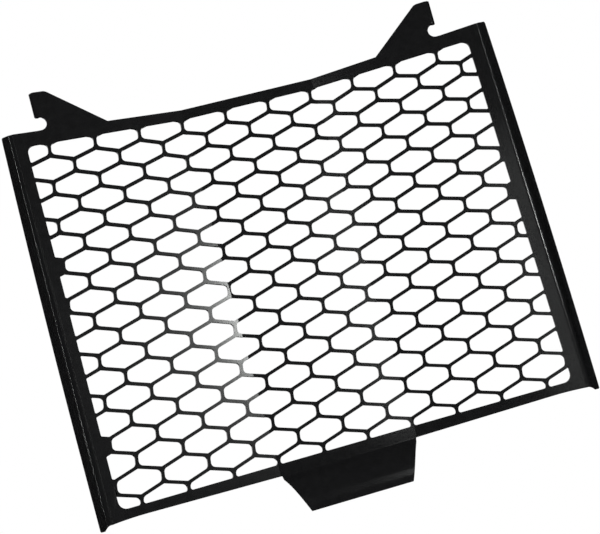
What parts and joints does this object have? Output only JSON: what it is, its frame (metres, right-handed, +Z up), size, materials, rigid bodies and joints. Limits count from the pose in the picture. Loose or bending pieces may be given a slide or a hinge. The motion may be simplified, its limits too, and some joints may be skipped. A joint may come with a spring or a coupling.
{
  "type": "motorcycle radiator guard",
  "caption": "Folded sheet guard for a motorcycle radiator, with a honeycomb mesh, two slotted hooks, turned-back side lips and a rolled bottom tab.",
  "frame": {"origin": "middle of the left hook's bolt slot, half way through the sheet", "axes": "+X across the guard towards the viewer's right, -Y towards the front wheel, +Z up"},
  "size_m": [0.2365, 0.018, 0.2149],
  "materials": {
    "powder_coat": "satin"
  },
  "bodies": {
    "root": {"guard": "powder_coat"}
  },
  "joints": []
}
